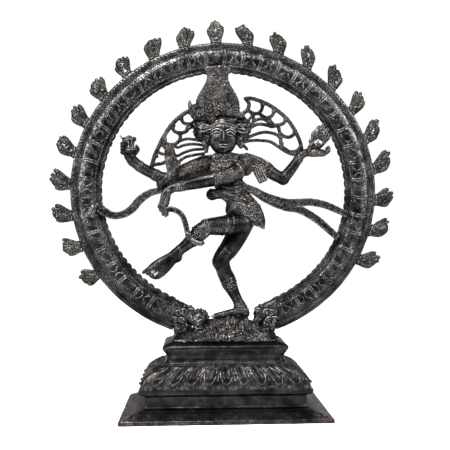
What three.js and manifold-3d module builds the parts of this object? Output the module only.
// Dancing figure in a ring of flames, cast in metal and bolted together.
// Millimetres, +Z up, the figure faces -Y, the origin is at the bottom centre of the base.
// "left" and "right" in names are the figure's own, so its left side is at +X.
import * as THREE from 'three';
import { mergeVertices } from 'three/addons/utils/BufferGeometryUtils.js';
import { ConvexGeometry } from 'three/addons/geometries/ConvexGeometry.js';
import Module from 'manifold-3d';

const wasm = await Module();
wasm.setup();

// ---------- driving dimensions ----------
const GAP = 0.3; // fitting gap between castings that touch

const PLINTH = {
  height: 17,
  edge: [152.5, 76.5], // half width and half depth of the vertical bottom edge
  edgeHeight: 6,
  top: [120.5, 58.5],
  wall: 7.5, // width of the rim that it stands on
  flange: 6, // thickness of the top flange
  window: [93, 33], // opening through the flange
};

const PEDESTAL = {
  bottom: PLINTH.height + GAP,
  top: 108,
  plate: 5, // thickness of the top plate
  // outline from the bottom up: height, half width, half depth
  levels: [
    [PLINTH.height + GAP, 119, 57],
    [37, 119, 57],
    [38.5, 126, 60],
    [43, 126, 60],
    [47, 124, 59],
    [59, 117, 55.5],
    [67, 108, 51],
    [75, 93, 44],
    [76, 91, 43],
    [80, 91, 43],
    [83, 87, 40.5],
    [87, 86.5, 40],
    [94, 90, 42.5],
    [100, 92.5, 44.5],
    [104, 90.5, 43],
    [108, 84, 37.5],
  ],
  cavity: [
    [PLINTH.height, 112, 50],
    [45, 112, 50],
    [78, 79, 34],
    [103, 79, 34],
  ],
  petal: { pitch: 28, half: 12, low: 48, high: 74, bulge: 3, alongFront: 9, alongSide: 4 },
};

const RING = {
  centre: 336, // height of the ring's centre
  outer: 235,
  flatten: 228 / 235, // the ring is slightly wider than tall
  halfOpening: 70, // half width of the opening at the bottom
  segments: 58,
  // half section: radius, half thickness. A rounded bar runs between an outer rim and an inner flange.
  section: [
    [235, 5.5],
    [229, 6.5],
    [226, 5.5],
    [219, 7.7],
    [212, 8],
    [203, 6.6],
    [199.5, 4.6],
    [197.5, 6],
    [194.5, 4],
    [186, 2.5],
  ],
  foot: { x: 72, halfWidth: 10, halfDepth: 7.5, top: 150 },
};

const FLAMES = {
  count: 21,
  middle: 10, // index of the top flame
  first: -124.5, // angle of the first flame from the top, in degrees
  pitch: 12.13,
  length: 30,
  topLength: 34,
  halfWidth: 11.5,
  halfRoot: 7,
  thickness: 11,
  lean: 26, // how far the side flames sweep up, in degrees
  tenon: { radius: 3, depth: 6 }, // square tenons, radius to the corners
};

const STUD = { radius: 3, bottom: 90, figureTop: 152, ringTop: 130 };
const WASHER = { radius: 7, thickness: 1.4 };
const NUT = { corner: 5.6, height: 4.6 };
const SCREW = { x: 104, y: 43, radius: 2.5, headRadius: 5, headHeight: 3, tip: 31, boss: 7.5, bossTop: 44 };
const SPIGOT = 4; // radius of the spigots between the castings of the figure

const FLOOR = PEDESTAL.top + GAP; // what stands on the pedestal starts here
const PLATE_BOTTOM = PEDESTAL.top - PEDESTAL.plate;
const SCREW_SEAT = PLINTH.height - PLINTH.flange - GAP; // under the plinth's flange
const FIGURE_STUD = [24, -4];
const RING_STUDS = [[RING.foot.x, 0], [-RING.foot.x, 0]];
const SCREW_PLACES = [[1, -1], [1, 1], [-1, 1], [-1, -1]].map(([sx, sy]) => [sx * SCREW.x, sy * SCREW.y]);

// ---------- solids ----------
const v = (p) => new THREE.Vector3(...p);
const radians = THREE.MathUtils.degToRad;

// A closed geometry as a manifold, with its faces pointing out.
function solidOf(geometry) {
  const bare = new THREE.BufferGeometry();
  bare.setAttribute('position', geometry.getAttribute('position'));
  if (geometry.index) bare.setIndex(geometry.index);
  const merged = mergeVertices(bare, 1e-4);
  const position = merged.getAttribute('position');
  const corner = [0, 1, 2].map(() => new THREE.Vector3());
  const triangles = [];
  let volume = 0;
  for (let i = 0; i < merged.index.count; i += 3) {
    const ids = [0, 1, 2].map((k) => merged.index.getX(i + k));
    if (new Set(ids).size < 3) continue;
    ids.forEach((id, k) => corner[k].fromBufferAttribute(position, id));
    volume += corner[0].dot(corner[1].cross(corner[2]));
    triangles.push(...ids);
  }
  if (volume < 0) triangles.reverse();
  return new wasm.Manifold(
    new wasm.Mesh({
      numProp: 3,
      vertProperties: new Float32Array(position.array),
      triVerts: new Uint32Array(triangles),
    }),
  );
}

const join = (parts) => parts.reduce((sum, part) => sum.add(part));

// A body less its neighbours, without the crumbs that a cut can leave.
function fit(body, neighbours) {
  const rest = neighbours.reduce((left, neighbour) => left.subtract(neighbour), body);
  return rest.decompose().reduce((a, b) => (a.volume() >= b.volume() ? a : b));
}

function geometryOf(solid) {
  const { vertProperties, triVerts } = solid.getMesh();
  const geometry = new THREE.BufferGeometry();
  geometry.setAttribute('position', new THREE.BufferAttribute(vertProperties, 3));
  geometry.setIndex(new THREE.BufferAttribute(triVerts, 1));
  geometry.computeVertexNormals();
  return geometry;
}

// A turned body from one point to another. The profile is radius and distance from the first point.
function turned(from, to, profile, sides) {
  const axis = v(to).sub(v(from)).normalize();
  const geometry = new THREE.LatheGeometry(profile.map((p) => new THREE.Vector2(...p)), sides);
  geometry.applyQuaternion(new THREE.Quaternion().setFromUnitVectors(new THREE.Vector3(0, 1, 0), axis));
  geometry.translate(...from);
  return solidOf(geometry);
}

// A round-ended limb whose radius follows evenly spaced stations. grow makes it fatter all over,
// which gives a neighbour its clearance.
function limb(from, to, radii, grow = 0, sides = 8) {
  const length = v(from).distanceTo(v(to));
  const first = radii[0] + grow;
  const last = radii[radii.length - 1] + grow;
  const stations = radii.map((radius, i) => [radius + grow, (length * i) / (radii.length - 1)]);
  const start = [[0, -first], [first * Math.SQRT1_2, -first * Math.SQRT1_2]];
  const end = [[last * Math.SQRT1_2, length + last * Math.SQRT1_2], [0, length + last]];
  return turned(from, to, [...start, ...stations, ...end], sides);
}

// Limbs through a list of points, with one list of radii for each stretch.
const limbs = (points, radii, grow) =>
  join(radii.map((list, i) => limb(points[i], points[i + 1], list, grow)));

function ball(centre, half, grow = 0, sides = 10) {
  const geometry = new THREE.SphereGeometry(1, sides, Math.round(sides * 0.65));
  geometry.scale(half[0] + grow, half[1] + grow, half[2] + grow);
  geometry.translate(...centre);
  return solidOf(geometry);
}

// An upright bar, round or with 6 sides. The radius is the one to its corners.
function upright([x, y], low, high, radius, sides = 12) {
  const geometry = new THREE.CylinderGeometry(radius, radius, high - low, sides);
  geometry.rotateX(Math.PI / 2);
  geometry.translate(x, y, (low + high) / 2);
  return solidOf(geometry);
}

// A moulding with a rectangular plan: levels of height, half width, half depth.
function moulding(levels) {
  const corners = levels.map(([z, halfX, halfY]) =>
    [[-1, -1], [1, -1], [1, 1], [-1, 1]].map(([sx, sy]) => new THREE.Vector3(sx * halfX, sy * halfY, z)));
  return join(corners.slice(1).map((above, i) => solidOf(new ConvexGeometry([...corners[i], ...above]))));
}

// A flat plate in the X-Z plane, from a shape whose second axis is Z.
function plate(shape, front, back) {
  const geometry = new THREE.ExtrudeGeometry(shape, {
    depth: back - front,
    bevelEnabled: false,
    curveSegments: 3,
  });
  geometry.rotateX(Math.PI / 2);
  geometry.translate(0, back, 0);
  return solidOf(geometry);
}

// A ribbon or cord through points: half width in the X-Z plane, half thickness along Y.
function ribbon(points, halfWidth, halfThickness, steps) {
  const section = new THREE.Shape();
  section.absellipse(0, 0, halfThickness, halfWidth, 0, 2 * Math.PI);
  const extrudePath = new THREE.CatmullRomCurve3(points.map(v));
  return solidOf(new THREE.ExtrudeGeometry(section, { steps, curveSegments: 2, extrudePath }));
}

// ---------- base ----------
const screwShank = (place, grow) =>
  upright(place, SCREW_SEAT - 1, SCREW.tip + grow, SCREW.radius + grow, 8);

function makePlinth() {
  const { edge, edgeHeight, top, height, wall, flange, window } = PLINTH;
  const outside = moulding([[0, ...edge], [edgeHeight, ...edge], [height, ...top]]);
  const hollow = moulding([
    [-1, edge[0] - wall, edge[1] - wall],
    [4, edge[0] - wall, edge[1] - wall],
    [height - flange, top[0] - 1.5, top[1] - 6],
  ]);
  const opening = moulding([[4, ...window], [height + 1, ...window]]);
  return fit(outside, [hollow, opening, ...SCREW_PLACES.map((place) => screwShank(place, GAP))]);
}

// Half width (axis 1) or half depth (axis 2) of the pedestal's slope at a height.
function slopeAt(z, axis) {
  const next = PEDESTAL.levels.findIndex(([height]) => height > z);
  const [low, high] = [PEDESTAL.levels[next - 1], PEDESTAL.levels[next]];
  return low[axis] + ((z - low[0]) / (high[0] - low[0])) * (high[axis] - low[axis]);
}

// One lotus petal, a convex wedge on the slope. place(along, out, z) puts it on its side.
function petal(middle, axis, place) {
  const { low, high, bulge, half } = PEDESTAL.petal;
  const points = [];
  for (const [share, width, proud] of [[0, 0.1, 0.5], [0.2, 0.75, bulge], [0.55, 1, bulge], [1, 0.65, 1]]) {
    const z = low + share * (high - low);
    const narrow = slopeAt(z, 1) / slopeAt(low, 1);
    for (const side of [-1, 1]) {
      points.push(place((middle + side * half * width) * narrow, slopeAt(z, axis) + proud * 0.4, z));
    }
    points.push(place(middle * narrow, slopeAt(z, axis) + proud, z));
    points.push(place(middle * narrow, slopeAt(z, axis) - 4, z));
  }
  return solidOf(new ConvexGeometry(points));
}

function makePedestal() {
  const parts = [moulding(PEDESTAL.levels)];
  const { pitch, alongFront, alongSide } = PEDESTAL.petal;
  const spread = (count) => Array.from({ length: count }, (_, i) => (i - (count - 1) / 2) * pitch);
  for (const side of [-1, 1]) {
    const toFront = (along, out, z) => new THREE.Vector3(along, side * out, z);
    const toSide = (along, out, z) => new THREE.Vector3(side * out, along, z);
    spread(alongFront).forEach((middle) => parts.push(petal(middle, 2, toFront)));
    spread(alongSide).forEach((middle) => parts.push(petal(middle, 1, toSide)));
  }
  const shell = fit(join(parts), [moulding(PEDESTAL.cavity)]);
  const bosses = SCREW_PLACES.map((place) =>
    upright(place, PEDESTAL.bottom, SCREW.bossTop, SCREW.boss, 8));
  const studHoles = [FIGURE_STUD, ...RING_STUDS].map((place) =>
    upright(place, PLATE_BOTTOM - 1, PEDESTAL.top + 1, STUD.radius + GAP));
  return fit(join([shell, ...bosses]), [
    ...studHoles,
    ...SCREW_PLACES.map((place) => screwShank(place, GAP)),
  ]);
}

// ---------- studs, washers, nuts and screws ----------
function makeScrew(place) {
  const head = upright(place, SCREW_SEAT - SCREW.headHeight, SCREW_SEAT, SCREW.headRadius);
  return head.add(screwShank(place, 0));
}

const makeStud = (place, top) => upright(place, STUD.bottom, top, STUD.radius);

function makeWasher(place) {
  const top = PLATE_BOTTOM - GAP;
  const disc = upright(place, top - WASHER.thickness, top, WASHER.radius);
  return fit(disc, [upright(place, top - 3, top + 1, STUD.radius + GAP)]);
}

function makeNut(place) {
  const top = PLATE_BOTTOM - WASHER.thickness - 2 * GAP;
  const hexagon = upright(place, top - NUT.height, top, NUT.corner, 6);
  return fit(hexagon, [upright(place, STUD.bottom, top + 1, STUD.radius + GAP)]);
}

// ---------- ring and flames ----------
// The ring with its feet.
function ringSolid(grow) {
  const side = (sign) => RING.section.map(([radius, half], i) => {
    const isRim = i === 0 ? 1 : 0;
    const isInner = i === RING.section.length - 1 ? 1 : 0;
    return new THREE.Vector2(radius + (isRim - isInner) * grow, sign * (half + grow));
  });
  const loop = [...side(1), ...side(-1).reverse()];
  loop.push(loop[0].clone());
  const geometry = new THREE.LatheGeometry(loop, RING.segments);
  geometry.scale(1, 1, RING.flatten);
  geometry.translate(0, 0, RING.centre);
  const opening = moulding([[0, RING.halfOpening - grow, 50], [RING.centre - 100, RING.halfOpening - grow, 50]]);
  const arch = solidOf(geometry).subtract(opening);
  const { x, halfWidth, halfDepth, top } = RING.foot;
  const outline = [[x - halfWidth, FLOOR], [x + halfWidth, FLOOR], [x + 12, top - 22], [x + 6, top], [x - 1, top]];
  const feet = [-1, 1].map((sign) => {
    const corners = outline.flatMap(([across, z]) => [-1, 1].map((face) => {
      const outward = Math.sign(across - x - 1) * grow;
      return new THREE.Vector3(sign * (across + outward), face * (halfDepth + grow), z + Math.sign(z - 120) * grow);
    }));
    return solidOf(new ConvexGeometry(corners));
  });
  return join([arch, ...feet]);
}

function flameTenon(grow) {
  const { radius, depth } = FLAMES.tenon;
  return upright([0, 0], -depth - grow, 3, radius + grow, 4);
}

// A place on the rim for an angle from the top, with +Z turned to point straight out of the rim.
function rimPlace(angle) {
  const [s, c] = [Math.sin(angle), Math.cos(angle)];
  const turn = new THREE.Matrix4().makeRotationY(Math.atan2(s * RING.flatten, c));
  return turn.setPosition(RING.outer * s, 0, RING.centre + RING.outer * RING.flatten * c);
}

const flameAngles = Array.from({ length: FLAMES.count }, (_, i) => radians(FLAMES.first + i * FLAMES.pitch));

function makeRing() {
  const tenonHole = geometryOf(flameTenon(GAP));
  const holes = flameAngles.map((angle) => solidOf(tenonHole.clone().applyMatrix4(rimPlace(angle))));
  const studHoles = RING_STUDS.map((place) =>
    upright(place, FLOOR - 1, STUD.ringTop + GAP, STUD.radius + GAP));
  return fit(ringSolid(0), [...holes, ...studHoles]);
}

// A tuft on its tenon: a root that spreads into five tongues, swept sideways by the lean.
function makeFlame(length, lean) {
  const { halfWidth, halfRoot, thickness } = FLAMES;
  // half outline: share of the half width, share of the length
  const outline = [[1, 0.5], [0.95, 0.78], [0.6, 0.93], [0.4, 0.87], [0, 1]];
  const slant = Math.tan(radians(lean));
  const at = (x, z) => new THREE.Vector2(x + slant * z, z);
  const right = outline.map(([x, z]) => at(halfWidth * x, length * z));
  const left = outline.slice(0, -1).reverse().map(([x, z]) => at(-halfWidth * x, length * z));
  const shape = new THREE.Shape([at(-halfRoot, 0.7), at(halfRoot, 0.7), ...right, ...left]);
  return plate(shape, -thickness / 2, thickness / 2).add(flameTenon(0));
}

// ---------- dwarf and creature heads ----------
const underFloor = (grow) => moulding([[FLOOR - 60, 200, 90], [FLOOR - grow, 200, 90]]);

function dwarfSolid(grow) {
  const mound = ball([3, 0, FLOOR], [76, 36, 14], grow);
  const back = limb([-26, -7, 124], [50, -7, 123], [12, 14.5, 14.5, 13], grow);
  const head = ball([-39, -11, 140], [14.5, 14.5, 14.5], grow);
  const legs = limbs([[50, -4, 122], [30, 14, 117], [4, 16, 114]], [[12, 10], [9, 6]], grow);
  const arm = limbs([[-20, -18, 120], [-2, -25, 115], [-24, -28, 112]], [[7, 6], [6, 4]], grow);
  return join([mound, back, head, legs, arm]).subtract(underFloor(grow));
}

function makaraSolid(side) {
  const skull = ball([side * 66, 0, 139], [16, 16, 21]);
  const snout = ball([side * 54, -4, 147], [11, 12, 12]);
  const chest = ball([side * 60, 0, 120], [12, 15, 14]);
  return join([skull, snout, chest]).subtract(underFloor(0));
}

// ---------- figure ----------
function torsoSolid(grow) {
  const chest = ball([0, -4, 362], [34, 20, 25], grow);
  const waist = ball([10, -5, 334], [20, 16, 24], grow);
  const hips = ball([29, -3, 300], [28, 20, 25], grow);
  const shoulders = limb([-34, -4, 375], [31, -2, 379], [13, 13], grow);
  const neck = limb([-3, -3, 382], [-3, -4, 398], [12, 11.5], grow);
  const skirtFlap = limb([38, -1, 318], [59, 0, 283], [14, 5], grow);
  const knot = limb([4, -15, 334], [-19, -18, 330], [8, 9.5], grow);
  return join([chest, waist, hips, shoulders, neck, skirtFlap, knot]);
}

function headSolid(grow) {
  const skull = ball([-3, -8, 416], [22.5, 22, 27], grow);
  const hairRight = ball([-33, -3, 430], [13, 11, 29], grow);
  const hairLeft = ball([26, -3, 430], [10, 11, 27], grow);
  const band = ball([-5, -3, 442], [30, 20, 16], grow);
  return join([skull, hairRight, hairLeft, band]);
}

// The tall headdress, oval in plan, which flares where it meets the ring.
function crownSolid(grow) {
  const profile = [[0, -6], [30, -6], [33.5, 12], [33, 26], [24, 45], [18.5, 53], [15.5, 61], [17, 70], [20, 78], [0, 78]];
  const geometry = new THREE.LatheGeometry(profile.map(([r, z]) => {
    const end = z < 0 ? -grow : z > 77 ? grow : 0;
    return new THREE.Vector2(r > 0 ? r + grow : 0, z + end);
  }), 12);
  geometry.rotateX(Math.PI / 2);
  geometry.scale(1, 0.62, 1);
  geometry.translate(-11, -2, 446);
  const wreath = ball([-14, -13, 455], [29, 14, 11], grow);
  return solidOf(geometry).add(wreath);
}

// A spread of hair locks: an outline with loops and slits, each centre, half sizes and turn.
function makeFan(outline, openings) {
  const sheet = plate(new THREE.Shape(outline.map((p) => new THREE.Vector2(...p))), 2.5, 7.5);
  return fit(sheet, openings.map(([x, z, halfLong, halfWide, turn]) => {
    const hole = new THREE.Shape();
    hole.absellipse(x, z, halfLong, halfWide, 0, 2 * Math.PI, false, radians(turn));
    return plate(hole, 1, 9);
  }));
}

const fanLeft = () => makeFan(
  [[14, 412], [40, 412], [58, 413], [76, 409], [91, 399], [107, 391], [121, 399], [113, 419], [101, 443],
    [83, 461], [58, 475], [32, 480], [38, 470], [30, 456], [14, 450]],
  [[47, 465, 8.5, 8, 0], [64, 455, 8, 7.5, 0], [81, 446, 9, 7, -20], [92, 427, 9, 6.5, -10], [101, 407, 9, 6.5, -35],
    [46, 444, 10, 3.2, 24], [50, 430, 16, 3.2, 22], [64, 419, 12, 3.6, 4]],
);

const fanRight = () => makeFan(
  [[-20, 400], [-60, 392], [-84, 378], [-104, 368], [-115, 368], [-108, 397], [-96, 419], [-84, 435], [-72, 449],
    [-54, 458], [-30, 452]],
  [[-59, 444, 7, 4.5, 30], [-71, 432, 8, 6.5, 40], [-85, 415, 8, 7, 50], [-99, 390, 9, 5.5, 70],
    [-58, 419, 10, 3.2, 5], [-61, 408, 13, 3.2, 14], [-60, 398, 13, 3, 20]],
);

const armFrontRight = (grow) => limbs(
  [[-30, -10, 374], [-94, -24, 343], [-80, -34, 358], [-76, -36, 371], [-83, -36, 391]],
  [[12, 11, 10], [9.5, 7.5], [8, 8.5], [7.5, 4]],
  grow,
);

const armFrontLeft = (grow) => limbs(
  [[28, -8, 377], [2, -34, 350], [-68, -38, 337], [-80, -38, 335], [-92, -38, 318], [-95, -38, 297]],
  [[12, 11], [10.5, 8.5, 6.5], [6.5, 7], [7.5, 7.5], [7, 4.5]],
  grow,
);

const armRearRight = (grow) => limbs(
  [[-28, 8, 374], [-96, 8, 352], [-127, 4, 367], [-141, 0, 377], [-146, 0, 396]],
  [[10.5, 9.5], [9.5, 8.5], [8.5, 8], [8, 7]],
  grow,
);

const armRearLeft = (grow) => limbs(
  [[28, 4, 379], [61, 6, 372], [91, 6, 353], [119, 4, 391], [142, 1, 395]],
  [[12, 11], [10.5, 9.5], [9, 6.5], [6.5, 8]],
  grow,
);

function drumSolid(grow) {
  const halfLength = 12 + grow;
  const profile = [[0, 0], [10 + grow, 0], [5 + grow, halfLength], [10 + grow, 2 * halfLength], [0, 2 * halfLength]];
  return turned([-143, -8, 392 - grow], [-148, -8, 416], profile, 14);
}

function makeHandFlame() {
  const outline = [[134, 404], [146, 402], [158, 414], [164, 430], [158, 442], [150, 439], [143, 434], [134, 422]];
  return plate(new THREE.Shape(outline.map((p) => new THREE.Vector2(...p))), -6, 6);
}

const raisedLeg = (grow) => limbs(
  [[27, -12, 284], [-28, -30, 278], [-43, -36, 265], [-74, -42, 240], [-90, -44, 221], [-108, -44, 211.5]],
  [[16, 15.5, 13, 12], [12, 11.5], [10.5, 9.5, 8], [8.5, 10.5], [10.5, 11.5]],
  grow,
);

const standingLeg = (grow) => limbs(
  [[34, 2, 288], [-7, -8, 226], [8, -4, 188], [27, -3, 156], [33, -4, 147], [-14, -6, 144]],
  [[19, 17.5, 14], [14, 12.5, 11], [11, 10, 8.5], [8.5, 9], [8.5, 7.5, 5.5]],
  grow,
);

// Spigots between castings of the figure: from inside the child to inside its parent.
const SPIGOTS = {
  head: [[-3, -5, 418], [-3, -4, 395]],
  crown: [[-9, -3, 462], [-8, -3, 440]],
  armFrontRight: [[-46, -13, 366], [-20, -8, 372]],
  armFrontLeft: [[16, -20, 364], [14, -8, 366]],
  armRearRight: [[-52, 8, 366], [-20, 2, 371]],
  armRearLeft: [[50, 5, 374], [20, 0, 375]],
  raisedLeg: [[-4, -22, 280], [18, -12, 292]],
  standingLeg: [[28, 8, 262], [38, 8, 290]],
};

const spigot = (name, grow) => limb(...SPIGOTS[name], [SPIGOT, SPIGOT], grow, 6);

// A casting with its spigot, less its neighbours.
const fitWithSpigot = (name, solid, neighbours) => fit(solid, neighbours).add(spigot(name, 0));

const holesFor = (names) => names.map((name) => spigot(name, GAP));

const makeTorso = () => fit(torsoSolid(0), holesFor(
  ['head', 'armFrontRight', 'armFrontLeft', 'armRearRight', 'armRearLeft', 'raisedLeg', 'standingLeg'],
));

function makeStandingLeg() {
  const hole = upright(FIGURE_STUD, FLOOR, STUD.figureTop + GAP, STUD.radius + GAP);
  const neighbours = [torsoSolid(GAP), raisedLeg(GAP), dwarfSolid(GAP), hole];
  return fitWithSpigot('standingLeg', standingLeg(0), neighbours);
}

// ---------- sashes ----------
function makeSashRight() {
  const points = [[-98, -16, 334], [-114, -12, 329], [-129, -9, 319], [-140, -7, 307], [-152, -7, 298],
    [-168, -8, 295], [-183, -9, 302], [-194, -9.5, 312], [-201, -9.5, 297]];
  return ribbon(points, 5, 2.6, 34);
}

// One band from the waist that forks in two, both ends lapped on the ring.
function makeSashLeft() {
  const band = ribbon([[24, -10, 343], [47, -7, 333], [63, -5, 324], [84, -4, 316], [108, -4, 311]], 7, 2.6, 16);
  const upper = ribbon([[92, -4, 314], [117, -5, 316], [133, -6, 317], [157, -8, 312], [188, -9, 297]], 5.5, 2.6, 16);
  const lower = ribbon([[92, -4, 311], [117, -5, 305], [141, -7, 291], [161, -8, 274], [173, -9, 262]], 5.5, 2.6, 16);
  return join([band, upper, lower]);
}

function makeSashFront() {
  const points = [[-86, -44, 303], [-73, -42, 301], [-63, -42, 294], [-58, -44, 279], [-53, -47, 263], [-42, -50, 254]];
  return ribbon(points, 3.6, 3, 16);
}

// ---------- assembly ----------
const statue = new THREE.Group();
statue.name = 'nataraja_statue';

const finishes = {
  plinth: { color: 0x4a4542, roughness: 0.45, metalness: 0.8 },
  pedestal: { color: 0x262423, roughness: 0.5, metalness: 0.8 },
  ring: { color: 0x2a2b2c, roughness: 0.45, metalness: 0.85 },
  figure: { color: 0x33302f, roughness: 0.45, metalness: 0.8 },
  steel: { color: 0x8a8c8e, roughness: 0.35, metalness: 1 },
};

// Adds a solid, or a geometry that several pieces share, as a named mesh.
function addPiece(name, shape, finish) {
  const geometry = shape.isBufferGeometry ? shape : geometryOf(shape);
  const mesh = new THREE.Mesh(geometry, new THREE.MeshStandardMaterial(finishes[finish]));
  mesh.name = name;
  statue.add(mesh);
  return mesh;
}

addPiece('plinth_plate', makePlinth(), 'plinth');
addPiece('lotus_pedestal', makePedestal(), 'pedestal');
addPiece('flame_ring', makeRing(), 'ring');

const swept = geometryOf(makeFlame(FLAMES.length, -FLAMES.lean));
const upswept = geometryOf(makeFlame(FLAMES.length, FLAMES.lean));
const upstanding = geometryOf(makeFlame(FLAMES.topLength, 0));
flameAngles.forEach((angle, i) => {
  const leaning = i < FLAMES.middle ? upswept : swept;
  const flame = addPiece(
    `flame_${String(i + 1).padStart(2, '0')}`,
    i === FLAMES.middle ? upstanding : leaning,
    'ring',
  );
  flame.applyMatrix4(rimPlace(angle));
});

const figureHole = upright(FIGURE_STUD, FLOOR - 1, 160, STUD.radius + GAP);
addPiece('dwarf_figure', fit(dwarfSolid(0), [ringSolid(GAP), figureHole]), 'figure');
for (const [name, side] of [['makara_left', 1], ['makara_right', -1]]) {
  addPiece(name, fit(makaraSolid(side), [ringSolid(GAP), dwarfSolid(GAP)]), 'ring');
}

addPiece('torso', makeTorso(), 'figure');
const head = fitWithSpigot('head', headSolid(0), [torsoSolid(GAP), spigot('crown', GAP)]);
addPiece('head', head, 'figure');
const crown = fitWithSpigot('crown', crownSolid(0), [headSolid(GAP), ringSolid(GAP)]);
addPiece('crown', crown, 'figure');

const armTrims = {
  armFrontRight: ['arm_front_right', armFrontRight, [torsoSolid(GAP)]],
  armFrontLeft: ['arm_front_left', armFrontLeft, [torsoSolid(GAP)]],
  armRearRight: ['arm_rear_right', armRearRight, [torsoSolid(GAP), armFrontRight(GAP), drumSolid(GAP)]],
  armRearLeft: ['arm_rear_left', armRearLeft, [torsoSolid(GAP), armFrontLeft(GAP)]],
};
for (const [key, [name, solid, neighbours]] of Object.entries(armTrims)) {
  addPiece(name, fitWithSpigot(key, solid(0), neighbours), 'figure');
}

const hairSides = [['hair_fan_left', fanLeft, armRearLeft], ['hair_fan_right', fanRight, armRearRight]];
for (const [name, makeSide, arm] of hairSides) {
  addPiece(name, fit(makeSide(), [headSolid(GAP), crownSolid(GAP), arm(GAP), torsoSolid(GAP)]), 'figure');
}

addPiece('drum', drumSolid(0), 'figure');
addPiece('hand_flame', fit(makeHandFlame(), [armRearLeft(GAP), ringSolid(GAP)]), 'figure');
addPiece('raised_leg', fitWithSpigot('raisedLeg', raisedLeg(0), [torsoSolid(GAP)]), 'figure');
addPiece('standing_leg', makeStandingLeg(), 'figure');
addPiece('sash_right', fit(makeSashRight(), [armFrontRight(GAP), armRearRight(GAP), ringSolid(GAP)]), 'figure');
addPiece('sash_left', fit(makeSashLeft(), [torsoSolid(GAP), ringSolid(GAP)]), 'figure');
addPiece('sash_front', fit(makeSashFront(), [armFrontLeft(GAP), raisedLeg(GAP)]), 'figure');

const studs = [
  ['figure', FIGURE_STUD, STUD.figureTop],
  ['ring_left', RING_STUDS[0], STUD.ringTop],
  ['ring_right', RING_STUDS[1], STUD.ringTop],
];
for (const [name, place, top] of studs) {
  addPiece(`${name}_stud`, makeStud(place, top), 'steel');
  addPiece(`${name}_washer`, makeWasher(place), 'steel');
  addPiece(`${name}_nut`, makeNut(place), 'steel');
}
SCREW_PLACES.forEach((place, i) => addPiece(`plinth_screw_${i + 1}`, makeScrew(place), 'steel'));

export default statue;
